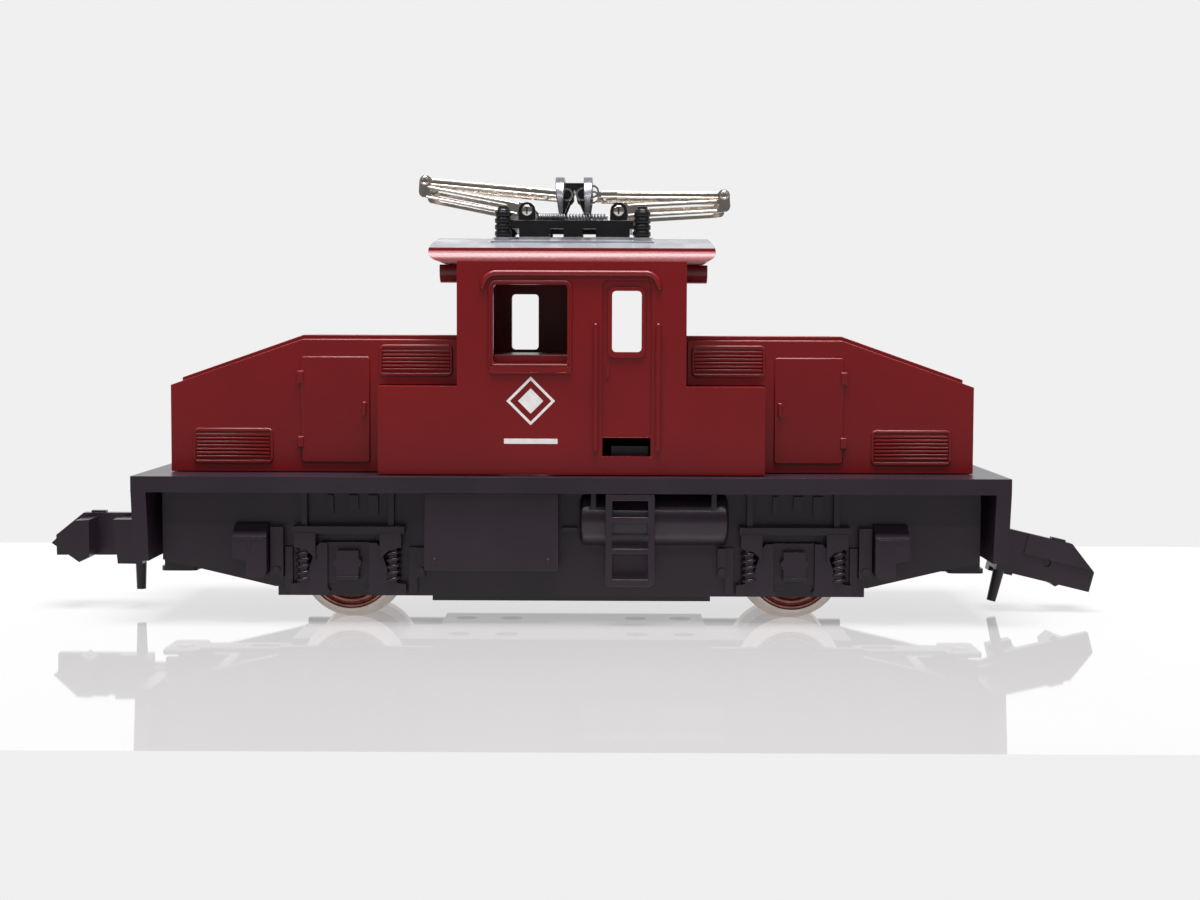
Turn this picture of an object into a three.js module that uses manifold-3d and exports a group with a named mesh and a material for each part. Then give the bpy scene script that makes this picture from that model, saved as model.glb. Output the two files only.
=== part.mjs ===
// Small-scale model of a two-axle, centre-cab electric locomotive with a diamond pantograph.
// Units are mm. +X is the front end, +Z is up, and Z = 0 is the lowest point of the wheel flanges.
// The body has two-fold symmetry about Z: whatever stands on the -Y side at x is repeated on the
// +Y side at -x, so the second of each pair is the first turned half way round.
import * as THREE from "three";
import { mergeVertices } from "three/addons/utils/BufferGeometryUtils.js";
import Module from "manifold-3d";

const wasm = await Module();
wasm.setup();

// ---- driving dimensions ----
const GAP = 0.04; // stand-off between separate mouldings
const DECK = { x: 28.5, y: 8.75, top: 9.7, sill: 1.04 };
const HEADSTOCK = { thick: 0.97, bottom: 4.2, lean: 0.18, notchHalf: 2.35, notchTop: 6.95 };
const FRAME = { outer: 6.7, inner: 6.05, x: 26.9, bottom: 1.72 };
const AXLE = { x: 14.6, z: 3.6, r: 0.75, half: 5.6 };
const WHEEL = { tread: 3.05, flange: 3.6, rim: 2.85, face: 5.85, back: 3.7 };
const GEAR = { teeth: 12, module: 0.25, half: 0.7 };
const WORM = { z: 6.7, r: 1.6, depth: 0.16, half: 2.0, shaft: 0.5 };
const MOTOR = { r: 3.4, half: 6.4, flat: 3.15 };
const CAB = { x: 7.48, y: 7.3, wall: 0.8, bottom: 9.78, eave: 23.67, baseX: 12.65, baseTop: 15.53 };
const ROOF = { x: 9.37, y: 6.75, lip: 24.36, edge: 24.56, crown: 25.45, thick: 0.6, pad: 0.1 };
const HOOD = { y: 4.8, end: 26.7, bottom: 9.75, endTop: 15.5, bendX: 17.95, top: 18.55, wall: 0.8 };
const COUPLER = { pivotX: 26.9, z: 4.93, droopDeg: 13.3 };
const PANTO = { lugX: 3.05, lugZ: 27.15, kneeL: [-9.9, 29.15], kneeR: [10.1, 28.25] };
const HEAD = { pinL: [-0.44, 28.3], pinR: [0.6, 28.3], mid: 0.08 };
const OPEN_SLOT = [1.3, 28.5]; // far end of the slot in which the open head pivot drifts

// ---- finishes ----
const RED = { color: "#74191d", roughness: 0.42, metalness: 0 };
const BLACK = { color: "#2c262b", roughness: 0.55, metalness: 0 };
const NICKEL = { color: "#cfc8c0", roughness: 0.22, metalness: 1 };
const STEEL = { color: "#8b8b90", roughness: 0.35, metalness: 1 };
const BRASS = { color: "#b08d4a", roughness: 0.35, metalness: 1 };
const ZINC = { color: "#4a484c", roughness: 0.6, metalness: 0.6 };
const BROWN = { color: "#7c4a3c", roughness: 0.5, metalness: 0 };
const CLEAR = { color: "#e9dfc4", roughness: 0.15, metalness: 0 };

// ---- helpers: geometry to solid and back ----
function solid(geometry) {
  const plain = geometry.index ? geometry.toNonIndexed() : geometry.clone();
  plain.deleteAttribute("normal");
  plain.deleteAttribute("uv");
  const merged = mergeVertices(plain, 1e-4);
  return new wasm.Manifold(
    new wasm.Mesh({
      numProp: 3,
      vertProperties: merged.attributes.position.array,
      triVerts: new Uint32Array(merged.index.array),
    }),
  );
}

const root = new THREE.Group();
const turned = new THREE.Group(); // the half-turn about Z that repeats the -Y side on the +Y side
turned.rotation.z = Math.PI;
root.add(turned);

function put(name, shape, finish, parent = root) {
  const { vertProperties, triVerts } = shape.getMesh();
  const geometry = new THREE.BufferGeometry();
  geometry.setAttribute("position", new THREE.BufferAttribute(vertProperties, 3));
  geometry.setIndex(new THREE.BufferAttribute(triVerts, 1));
  const faceted = geometry.toNonIndexed();
  faceted.computeVertexNormals();
  const mesh = new THREE.Mesh(faceted, new THREE.MeshStandardMaterial(finish));
  mesh.name = name;
  parent.add(mesh);
  return mesh;
}

const pair = (a, b, shape, finish) => [put(a, shape, finish), put(b, shape, finish, turned)];
const union = (...shapes) => shapes.flat().reduce((a, b) => a.add(b));
const cut = (shape, ...tools) => tools.flat().reduce((a, b) => a.subtract(b), shape);

// ---- helpers: basic solids ----
function box(x0, x1, y0, y1, z0, z1) {
  const g = new THREE.BoxGeometry(x1 - x0, y1 - y0, z1 - z0);
  return solid(g.translate((x0 + x1) / 2, (y0 + y1) / 2, (z0 + z1) / 2));
}

// An outline of [u, v] points swept from a to b along the axis. Across x it is (y, z), across y
// (x, z) and across z (x, y).
function prism(axis, outline, a, b, holes = []) {
  const shape = new THREE.Shape(outline.map(([u, v]) => new THREE.Vector2(u, v)));
  for (const hole of holes)
    shape.holes.push(new THREE.Path(hole.map(([u, v]) => new THREE.Vector2(u, v))));
  const g = new THREE.ExtrudeGeometry(shape, { depth: b - a, bevelEnabled: false });
  const [x, y, z] = [
    new THREE.Vector3(1, 0, 0),
    new THREE.Vector3(0, 1, 0),
    new THREE.Vector3(0, 0, 1),
  ];
  const turn = new THREE.Matrix4();
  if (axis === "x") turn.makeBasis(y, z, x).setPosition(a, 0, 0);
  else if (axis === "y") turn.makeBasis(x, z, y.negate()).setPosition(0, b, 0);
  else turn.setPosition(0, 0, a);
  return solid(g.applyMatrix4(turn));
}

// Points along an arc, angles in degrees.
function arc(u, v, r, from, to, steps) {
  return Array.from({ length: steps + 1 }, (_, i) => {
    const t = THREE.MathUtils.degToRad(from + ((to - from) * i) / steps);
    return [u + r * Math.cos(t), v + r * Math.sin(t)];
  });
}

const disc = (u, v, r, n) => arc(u, v, r, 0, 360 - 360 / n, n - 1);
const rod = (axis, u, v, r, a, b, n = 16) => prism(axis, disc(u, v, r, n), a, b);

function rounded(u0, u1, v0, v1, r, n = 3) {
  return [
    ...arc(u1 - r, v1 - r, r, 0, 90, n),
    ...arc(u0 + r, v1 - r, r, 90, 180, n),
    ...arc(u0 + r, v0 + r, r, 180, 270, n),
    ...arc(u1 - r, v0 + r, r, 270, 360, n),
  ];
}

// The outline of a bar with round ends of radius rp at p and rq at q.
function bar(p, q, rp, rq, n = 5) {
  const along = THREE.MathUtils.radToDeg(Math.atan2(q[1] - p[1], q[0] - p[0]));
  return [
    ...arc(p[0], p[1], rp, along + 90, along + 270, n),
    ...arc(q[0], q[1], rq, along - 90, along + 90, n),
  ];
}

// A point a given share of the way from p to q.
const between = (p, q, t) => [p[0] + (q[0] - p[0]) * t, p[1] + (q[1] - p[1]) * t];

// A body of revolution about the Y axis from a closed profile of [radius, y].
function turnedAboutY(profile, n) {
  const ring = [...profile, profile[0]].map(([r, y]) => new THREE.Vector2(r, y));
  return solid(new THREE.LatheGeometry(ring, n));
}

class Helix extends THREE.Curve {
  constructor(radius, pitch, turns) {
    super();
    Object.assign(this, { radius, pitch, turns });
  }
  getPoint(t, target = new THREE.Vector3()) {
    const angle = t * this.turns * 2 * Math.PI;
    const along = (t - 0.5) * this.turns * this.pitch;
    return target.set(along, this.radius * Math.cos(angle), this.radius * Math.sin(angle));
  }
}

// A coil along X, centred on the origin.
function coil(radius, wire, pitch, turns, steps = 7) {
  const section = new THREE.Shape(disc(0, 0, wire, 3).map(([u, v]) => new THREE.Vector2(u, v)));
  const path = new Helix(radius, pitch, turns);
  return solid(new THREE.ExtrudeGeometry(section, { steps: turns * steps, extrudePath: path }));
}

// ---- underframe: deck, headstocks and coupler pockets ----
const sillZ = DECK.top - DECK.sill;
const wellX = 23.4;
const wellY = 4.2;
const deck = cut(
  box(-DECK.x, DECK.x, -DECK.y, DECK.y, sillZ, DECK.top),
  box(-wellX, wellX, -wellY, wellY, sillZ - 1, DECK.top + 1),
);
const headstock = cut(
  prism(
    "y",
    [
      [DECK.x, sillZ + 0.2],
      [DECK.x - HEADSTOCK.thick, sillZ + 0.2],
      [DECK.x - HEADSTOCK.thick - HEADSTOCK.lean, HEADSTOCK.bottom],
      [DECK.x - HEADSTOCK.lean, HEADSTOCK.bottom],
    ],
    -DECK.y,
    DECK.y,
  ),
  box(26, 29, -HEADSTOCK.notchHalf, HEADSTOCK.notchHalf, 3, HEADSTOCK.notchTop),
);
const pocketFloor = 3.1;
const postR = 0.55;
const postClear = 0.06;
const cheekX = 25.5; // inboard of this the pocket's walls stay above the slope of the side frames
const pocket = cut(
  box(23.6, 27.6, -3.1, 3.1, pocketFloor, sillZ + 0.2),
  box(23.5, cheekX, -3.2, 3.2, pocketFloor - 0.1, pocketFloor + 0.7),
  box(24.3, 28.5, -2.5, 2.5, pocketFloor - 1, HEADSTOCK.notchTop),
  rod("z", COUPLER.pivotX, 0, postR + postClear, HEADSTOCK.notchTop - 0.5, 7.6, 14),
);
const cabStep = box(2.6, 5.05, -6.25, -5.75, DECK.top - 0.1, 11.62);
const endPart = union(headstock, pocket);
put("underframe", union(deck, endPart, endPart.rotate([0, 0, 180]), cabStep,
  cabStep.rotate([0, 0, 180])), BLACK);

// Retaining plate under each coupler pocket, with a long round-ended tongue.
const keeperBottom = 2.75;
const keeperTop = pocketFloor - 0.05;
const keeperPlate = prism("z", rounded(cheekX + 0.1, 28.05, -2.3, 2.3, 0.4), keeperBottom, keeperTop);
const tongue = prism("z", bar([20.4, 0], [26.2, 0], 1.2, 1.2, 8), keeperBottom, keeperTop);
const oval = prism("z", bar([20.5, 0], [22, 0], 0.5, 0.5, 6), 2.4, 3.3);
const keeper = cut(union(keeperPlate, tongue), oval,
  rod("z", COUPLER.pivotX, 0, postR + postClear, 2.4, 3.3, 14));
pair("coupler_keeper_front", "coupler_keeper_rear", keeper, BLACK);

// ---- side frames: plate, axle boxes, springs, sand boxes and brake hangers ----
const plateTop = sillZ - GAP;
const framePlate = prism(
  "y",
  [
    [-FRAME.x, plateTop], [-FRAME.x, 4.05], [-19.5, 2.31], [-19.3, 2.31], [-19.3, FRAME.bottom],
    [19.3, FRAME.bottom], [19.3, 2.31], [19.5, 2.31], [FRAME.x, 4.05], [FRAME.x, plateTop],
  ],
  -FRAME.outer,
  -FRAME.inner,
);
const onFrame = (x0, x1, depth, z0, z1) =>
  box(x0, x1, -FRAME.outer - depth, -FRAME.outer + 0.1, z0, z1);

// An outline given outwards from x0, drawn on the side that hand (+1 or -1) names.
function handed(x0, hand, outline) {
  const points = outline.map(([d, z]) => [x0 + hand * d, z]);
  return hand < 0 ? points.reverse() : points;
}

// One side of an axle box: the horn cheek, the core of the coil spring and the seat arched over it.
function hornSide(x0, hand) {
  const front = -FRAME.outer;
  const cheek = handed(x0, hand, [
    [1.35, 1.88], [1.75, 1.88], [3.8, 1.88], [3.8, 2.55], [3.3, 2.62], [2.85, 2.9], [2.6, 3.4],
    [2.35, 4.2], [2.1, 5.0], [1.85, 5.28], [1.35, 5.28], [1.35, 2.3], [1.2, 2.1],
  ]);
  const seat = handed(x0, hand, [
    [2.1, 4.15], [2.35, 4.5], [2.7, 4.8], [3.1, 4.97], [3.5, 5.0], [3.5, 5.95], [2.1, 5.95],
  ]);
  return union(
    prism("y", cheek, front - 0.75, front + 0.1),
    rod("z", x0 + hand * 2.93, front - 0.45, 0.36, 2.6, 5.1, 8),
    prism("y", seat, front - 1.0, front + 0.1),
  );
}

function axleBox(x0) {
  const studs = [[-1.2, 0.19, 1.2], [0.3, 0.32, 0.97], [1.6, 0.325, 1.28]].map(([d, half, tall]) =>
    onFrame(x0 + d - half, x0 + d + half, 0.25, 8.36 - tall, 8.36),
  );
  const cover = [[-0.72, 2.94], [0.72, 2.94], [0.72, 3.6], [0.9, 3.95], [0.9, 4.1], [0.72, 4.3],
    [0.72, 4.79], [-0.72, 4.79], [-0.72, 4.3], [-0.9, 4.1], [-0.9, 3.95], [-0.72, 3.6]];
  return union(
    onFrame(x0 - 1.41, x0 + 1.41, 0.45, 2.6, 5.3),
    prism("y", handed(x0, 1, cover), -FRAME.outer - 1.1, -FRAME.outer),
    onFrame(x0 - 0.74, x0 + 0.74, 1.2, 2.9, 3.12),
    onFrame(x0 - 1.36, x0 + 1.36, 0.3, 2.2, 2.65),
    hornSide(x0, 1),
    hornSide(x0, -1),
    onFrame(x0 - 3.6, x0 + 3.7, 0.95, 5.9, 6.37),
    onFrame(x0 - 3.08, x0 - 2.71, 0.5, 6.3, plateTop),
    onFrame(x0 + 2.61, x0 + 2.98, 0.5, 6.3, plateTop),
    studs,
  );
}

// A sand box with its chute, and the brake hangers on both sides of the axle box next to it.
function sandBox(hand) {
  const out = FRAME.outer;
  const front = handed(0, hand, [
    [20.25, 3.03], [21.15, 3.03], [21.15, 4.15], [22.03, 4.32], [22.03, 6.5], [19.82, 6.5],
    [19.82, 3.45], [19.95, 3.15],
  ]);
  const hopper = [[-out + 0.1, 3], [-out - 1.5, 3], [-out - 1.5, 5.74], [-out - 0.5, 6.55],
    [-out + 0.1, 6.55]];
  const [a, b] = [Math.min(hand * 19, hand * 23), Math.max(hand * 19, hand * 23)];
  const across = (x, half) => [hand * x - half, hand * x + half];
  const hanger = (x, half, depth, z0, z1) => onFrame(...across(x, half), depth, z0, z1);
  return union(
    prism("y", front, -out - 2, -out + 0.1).intersect(prism("x", hopper, a, b)),
    hanger(20.95, 0.08, 1.56, 4.95, 5.6),
    hanger(20.95, 0.95, 1.56, 5.52, 5.66),
    hanger(19.28, 0.42, 0.7, 3.0, 6.3),
    hanger(18.55, 0.25, 0.3, 1.95, 4.96),
    hanger(9.87, 0.27, 0.5, 3.0, 4.95),
    hanger(10.38, 0.28, 0.3, 1.95, 4.96),
    [[19.28, 0.9], [9.87, 0.7]].map(([x, high]) =>
      rod("y", hand * x, 3.45, 0.24, -out - high, -out, 10)),
  );
}
const sideFrame = union(framePlate, axleBox(AXLE.x), axleBox(-AXLE.x), sandBox(1), sandBox(-1),
  onFrame(-0.6, 0.4, 0.5, 6.05, 6.3));
pair("side_frame_near", "side_frame_far", sideFrame, BLACK);

// ---- gear hung outside the frames ----
const boxFront = -8.3;
const screws = [-8.9, -1.5].map((x) => rod("y", x, 4.2, 0.18, boxFront - 0.06, boxFront + 0.2, 8));
const equipmentBox = union(
  box(-9.53, -0.82, boxFront, -FRAME.outer - GAP, 3.58, plateTop),
  screws,
);
pair("equipment_box_near", "equipment_box_far", equipmentBox, BLACK);

const TANK = { x0: 0.54, x1: 10.3, r: 1.75, y: -6.5, z: 6.8, dome: 0.4 };
function tankShell() {
  const { x0, x1, r, dome } = TANK;
  const half = (x1 - x0) / 2;
  const profile = [[0, -half], [r * 0.75, -half + dome * 0.05], [r * 0.93, -half + dome * 0.35],
    [r, -half + dome]];
  const shape = [...profile, ...profile.map(([u, v]) => [u, -v]).reverse()];
  const g = new THREE.LatheGeometry(shape.map(([u, v]) => new THREE.Vector2(u, v)), 16);
  return solid(g.rotateZ(-Math.PI / 2).translate((x0 + x1) / 2, TANK.y, TANK.z));
}
const hangers = [1.46, 9.3].map((x) => box(x - 0.18, x + 0.18, -8.12, -6.5, 7.6, plateTop));
const outside = box(0, 11, -9, -FRAME.outer - GAP, 4, plateTop);
pair("air_tank_near", "air_tank_far", union(tankShell(), hangers).intersect(outside), BLACK);

const LADDER = { x0: 2.24, x1: 5.44, y0: -8.72, y1: -8.38, z0: 2.62, rail: 0.44 };
const ladderHoles = [[3.08, 4.75], [5.09, 6.8], [7.14, 8.2]].map(([z0, z1]) => [
  [LADDER.x0 + LADDER.rail, z0], [LADDER.x1 - LADDER.rail, z0],
  [LADDER.x1 - LADDER.rail, z1], [LADDER.x0 + LADDER.rail, z1],
]);
const ladder = prism(
  "y",
  [
    ...arc(LADDER.x0 + 0.4, LADDER.z0 + 0.4, 0.4, 180, 270, 3),
    ...arc(LADDER.x1 - 0.4, LADDER.z0 + 0.4, 0.4, 270, 360, 3),
    [LADDER.x1, plateTop],
    [LADDER.x0, plateTop],
  ],
  LADDER.y0,
  LADDER.y1,
  ladderHoles,
);
pair("step_ladder_near", "step_ladder_far", ladder, BLACK);

// ---- chassis block, bottom cover, motor and gear train ----
const ends = [-AXLE.x, AXLE.x];
const axleClear = 0.06;
const blockHalf = 22.9;
const troughs = [1, -1].map((h) => {
  const [a, b] = h > 0 ? [6.5, 21.3] : [-21.3, -6.5];
  return union(rod("x", 0, WORM.z, 2.0, a, b, 16), box(a, b, -2.0, 2.0, WORM.z, 10));
});
const axleSlots = ends.map((x) =>
  union(
    rod("y", x, AXLE.z, AXLE.r + axleClear, -4, 4, 18),
    box(x - AXLE.r - axleClear, x + AXLE.r + axleClear, -4, 4, 2, AXLE.z),
    box(x - 2.1, x + 2.1, -GEAR.half - 0.2, GEAR.half + 0.2, 2, WORM.z),
  ),
);
const chassisBlock = cut(
  box(-blockHalf, blockHalf, -3.2, 3.2, 2.6, 9.6),
  box(-MOTOR.half - 0.3, MOTOR.half + 0.3, -4, 4, 3.2, 10),
  troughs,
  axleSlots,
  rod("x", 0, WORM.z, WORM.shaft + axleClear, -22, 22, 14),
  [[-23, -18.6], [18.6, 23]].map(([x0, x1]) => box(x0, x1, -4, 4, 2, 3.3)),
);
put("chassis_block", chassisBlock, ZINC);

const saddles = ends.flatMap((x) =>
  [[-3.2, -1.6], [1.6, 3.2]].map(([y0, y1]) => box(x - 0.7, x + 0.7, y0, y1, 2.3, 2.8)),
);
const recesses = [-7.6, -4.4, 4.4, 7.6].flatMap((x) =>
  [-3.6, 3.6].map((y) => rod("z", x, y, 0.8, 1.0, 1.6, 10)),
);
const bottomCover = cut(
  union(
    box(-19, 19, -3.2, 3.2, FRAME.bottom, 2.4),
    box(-9.2, 9.2, -5.95, 5.95, 1.3, 2.1),
    saddles,
  ),
  recesses,
  ends.map((x) => box(x - 1.9, x + 1.9, -GEAR.half - 0.2, GEAR.half + 0.2, 1, 3)),
);
put("bottom_cover", bottomCover, BLACK);

const motor = cut(
  rod("x", 0, WORM.z, MOTOR.r, -MOTOR.half, MOTOR.half, 24).intersect(
    box(-9, 9, -MOTOR.flat, MOTOR.flat, 0, 12),
  ),
  rod("x", 0, WORM.z, WORM.shaft + axleClear, -8, 8, 14),
);
put("motor_can", motor, STEEL);

// A single-start worm along X whose crest passes below its axis at x = 0.
function wormThread(around = 10, perPitch = 4) {
  const pitch = Math.PI * GEAR.module;
  const rings = Math.round((2 * WORM.half) / (pitch / perPitch));
  const points = [];
  for (let i = 0; i <= rings; i++) {
    const x = -WORM.half + (2 * WORM.half * i) / rings;
    for (let j = 0; j < around; j++) {
      const angle = (2 * Math.PI * j) / around;
      const phase = (2 * Math.PI * x) / pitch - (angle + Math.PI / 2);
      const r = WORM.r + WORM.depth * Math.cos(phase);
      points.push(x, r * Math.cos(angle), r * Math.sin(angle));
    }
  }
  const index = [];
  for (let i = 0; i < rings; i++)
    for (let j = 0; j < around; j++) {
      const [a, b] = [i * around + j, i * around + ((j + 1) % around)];
      index.push(a, b, a + around, b, b + around, a + around);
    }
  const [first, last] = [points.length / 3, points.length / 3 + 1];
  points.push(-WORM.half, 0, 0, WORM.half, 0, 0);
  for (let j = 0; j < around; j++) {
    const next = (j + 1) % around;
    index.push(first, next, j);
    index.push(last, rings * around + j, rings * around + next);
  }
  const g = new THREE.BufferGeometry();
  g.setAttribute("position", new THREE.Float32BufferAttribute(points, 3));
  g.setIndex(index);
  return solid(g);
}
const thread = wormThread();
const worm = union(thread.translate([AXLE.x, 0, 0]), thread.translate([-AXLE.x, 0, 0]),
  rod("x", 0, 0, WORM.shaft, -21.9, 21.9, 14));
put("worm_shaft", worm, BRASS).position.z = WORM.z;

function gearOutline() {
  const step = 360 / GEAR.teeth;
  const pitchR = (GEAR.module * GEAR.teeth) / 2;
  const [tip, rootR] = [pitchR + 0.12, pitchR - 0.26];
  return Array.from({ length: GEAR.teeth }, (_, i) => {
    const mid = 90 + step * (i + 0.5);
    return [[rootR, -0.26], [tip, -0.09], [tip, 0.09], [rootR, 0.26]].map(([r, share]) => {
      const t = THREE.MathUtils.degToRad(mid + share * step);
      return [r * Math.cos(t), r * Math.sin(t)];
    });
  }).flat();
}
const gear = cut(
  prism("y", gearOutline(), -GEAR.half, GEAR.half),
  rod("y", 0, 0, AXLE.r + 0.03, -2, 2, 16),
);

// Wheelsets. The wheel on the -Y side is built here and the other is its half turn.
const tyre = turnedAboutY(
  [
    [WHEEL.rim, -WHEEL.face], [WHEEL.tread, -WHEEL.face], [WHEEL.tread + 0.1, -4.6],
    [WHEEL.flange, -4.36], [WHEEL.flange, -4.1], [WHEEL.flange - 0.15, -WHEEL.back],
    [WHEEL.rim, -WHEEL.back],
  ],
  24,
);
const hubR = AXLE.r + 0.03;
const wheelCentre = turnedAboutY(
  [
    [hubR, -5.75], [1.25, -5.75], [1.35, -5.4], [2.2, -5.4], [2.26, -5.7], [2.46, -5.7],
    [2.5, -5.45], [2.6, -5.45], [2.64, -5.78], [WHEEL.rim - 0.05, -5.78],
    [WHEEL.rim - 0.05, -3.9], [hubR, -3.9],
  ],
  16,
);
const axle = rod("y", 0, 0, AXLE.r, -AXLE.half, AXLE.half, 16);
for (const [end, x] of [["front", AXLE.x], ["rear", -AXLE.x]]) {
  const wheelset = new THREE.Group();
  wheelset.position.set(x, 0, AXLE.z);
  root.add(wheelset);
  const opposite = new THREE.Group();
  opposite.rotation.z = Math.PI;
  wheelset.add(opposite);
  put(`axle_${end}`, axle, STEEL, wheelset);
  put(`gear_${end}`, gear, BRASS, wheelset);
  put(`wheel_tyre_${end}_near`, tyre, NICKEL, wheelset);
  put(`wheel_centre_${end}_near`, wheelCentre, BROWN, wheelset);
  put(`wheel_tyre_${end}_far`, tyre, NICKEL, opposite);
  put(`wheel_centre_${end}_far`, wheelCentre, BROWN, opposite);
}

// Sprung strips that rub on the backs of the wheels and carry current to the motor.
const stripTabs = ends.map((x) => box(x - 0.5, x + 0.5, -3.64, -3.45, 4.7, 5.5));
pair("pickup_strip_near", "pickup_strip_far",
  union(box(-17, 17, -3.5, -3.3, 4.9, 5.3), stripTabs), BRASS);

// ---- ballast inside the hoods ----
pair("ballast_weight_front", "ballast_weight_rear",
  box(13.9, 25.4, -3.7, 3.7, 9.75, 14.5), ZINC);

// ---- cab ----
const inner = { x: CAB.x - CAB.wall, y: CAB.y - CAB.wall };
const bigWindow = { x0: -5.12, x1: -0.28, z0: 17.05, z1: 22.17 };
const doorWindow = { x0: 2.63, x1: 4.56, z0: 17.8, z1: 21.78 };
const opening = ({ x0, x1, z0, z1 }, grow, r, a, b) =>
  prism("y", rounded(x0 - grow, x1 + grow, z0 - grow, z1 + grow, r), a, b);
const face = -CAB.y;
const raised = (outline, high, deep = 0.2, holes = []) =>
  prism("y", outline, face - high, face + deep, holes);

// Gutter over the window and door, bent down at both ends.
const gutterHalf = 0.15;
const gutter = [...arc(-4.9, 22.01, 0.9 + gutterHalf, 180, 90, 4),
  ...arc(4.78, 22.01, 0.9 + gutterHalf, 90, 0, 4),
  ...arc(4.78, 22.01, 0.9 - gutterHalf, 0, 90, 4),
  ...arc(-4.9, 22.01, 0.9 - gutterHalf, 90, 180, 4)];
const sideDetail = union(
  cut(opening(bigWindow, 0.24, 0.45, face - 0.1, face + 0.2),
    opening(bigWindow, 0, 0.25, face - 1, face + 2)),
  raised(rounded(-5.36, -0.02, 16.39, 16.85, 0.15, 2), 0.16),
  raised(gutter, 0.22),
  raised(rounded(1.44, 1.71, 11.26, 19.74, 0.12, 2), 0.22),
  raised(rounded(5.5, 5.78, 11.26, 19.74, 0.12, 2), 0.22),
);
const doorDepth = 0.15;
const doorRecess = prism("y", rounded(1.98, 5.22, 12.26, 22.5, 0.3), face - 1, face + doorDepth);
const doorDetail = union(
  prism("y", rounded(2.36, 4.79, 17.45, 22.0, 0.4), face - 0.02, face + doorDepth + 0.2),
  prism("y", rounded(2.25, 2.45, 16.13, 16.93, 0.08, 2), face - 0.02, face + doorDepth + 0.2),
);
const sideHoles = [
  opening(bigWindow, 0, 0.25, face - 1, face + 2),
  opening(doorWindow, 0, 0.25, face - 1, face + 2),
  box(2.02, 5.17, face - 1, face + 2, 10.99, 12.2),
];
const endHoles = [-1, 1].flatMap((hand) =>
  [[-5.4, -2.0], [2.0, 5.4]].map(([y0, y1]) =>
    prism("x", rounded(y0, y1, 19.4, 22.2, 0.25), hand > 0 ? 6 : -8, hand > 0 ? 8 : -6),
  ),
);
const halfTurn = (shapes) => [shapes, shapes.map((s) => s.rotate([0, 0, 180]))].flat();
let cab = cut(
  union(
    box(-CAB.baseX, CAB.baseX, -CAB.y, CAB.y, CAB.bottom, CAB.baseTop),
    box(-CAB.x, CAB.x, -CAB.y, CAB.y, CAB.bottom, CAB.eave),
  ),
  box(-CAB.baseX + CAB.wall, CAB.baseX - CAB.wall, -inner.y, inner.y, 9, CAB.baseTop - 0.8),
  box(-inner.x, inner.x, -inner.y, inner.y, 9, 26),
);
cab = cut(cab, halfTurn([doorRecess]));
cab = union(cab, halfTurn([sideDetail, doorDetail]));
cab = cut(cab, halfTurn(sideHoles), endHoles);
put("cab_shell", cab, RED);
put("cab_floor", box(-inner.x + 0.1, inner.x - 0.1, -inner.y + 0.1, inner.y - 0.1, 16.9, 17.6),
  RED);

// ---- roof: a shallow arch on rounded shoulders, with a canopy over each end of the cab ----
const archSteps = 12;
const crownAt = (y) => ROOF.crown - (ROOF.crown - ROOF.edge) * (y / ROOF.y) ** 2;
const arch = (lift, half) =>
  Array.from({ length: archSteps + 1 }, (_, i) => {
    const y = half - (2 * half * i) / archSteps;
    return [y, crownAt(y) + lift];
  });
const shoulder = [[CAB.y, CAB.eave], [7.24, 23.9], [7.1, 24.12], [6.93, 24.27], [ROOF.y, ROOF.lip]];
const outerSkin = [...shoulder, ...arch(0, ROOF.y), ...shoulder.map(([y, z]) => [-y, z]).reverse()];
const innerSkin = [[inner.y, 23], ...arch(-ROOF.thick, inner.y), [-inner.y, 23]];
const canopyEnd = [[8.55, CAB.eave], [8.95, 23.75], [9.22, 23.92], [9.34, 24.12],
  [ROOF.x, ROOF.lip], [9.28, 24.8], [8.95, 25.6]];
const canopyOutline = [...canopyEnd, ...canopyEnd.map(([x, z]) => [-x, z]).reverse()];
const padFeet = [1, -1].flatMap((h) => [
  ...[[-3.57, -1.52], [-0.62, 0.64], [1.53, 3.79]].map(([x0, x1]) =>
    box(h > 0 ? x0 : -x1, h > 0 ? x1 : -x0, h > 0 ? -4.1 : 3.5, h > 0 ? -3.5 : 4.1, 25, 25.4)),
  ...[-4.63, 4.63].map((x) => rod("z", x, h * 4.12, 0.62, 25, 25.35, 12)),
]);
const pad = prism("x", [...arch(ROOF.pad, 4.9), [-4.9, 24.9], [4.9, 24.9]], -5.4, 5.4);
const roof = union(
  cut(
    prism("x", outerSkin, -10, 10).intersect(prism("y", canopyOutline, -8, 8)),
    prism("x", innerSkin, -inner.x, inner.x),
  ),
  pad,
  padFeet,
);
put("cab_roof", roof, RED);

// ---- headlights under the roof canopies, their tops against the roof ----
const lampZ = 23.3;
const belowCanopy = box(7, 11, -2, 2, 22, CAB.eave - 0.01);
const barrel = cut(
  rod("x", 0, lampZ, 0.87, CAB.x + GAP, 9.15, 20),
  rod("x", 0, lampZ, 0.68, 8.6, 10, 20),
).intersect(belowCanopy);
const lampLens = rod("x", 0, lampZ, 0.64, 8.65, 8.95, 16).intersect(belowCanopy);
pair("headlight_barrel_front", "headlight_barrel_rear", barrel, RED);
pair("headlight_lens_front", "headlight_lens_rear", lampLens, CLEAR);

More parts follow.
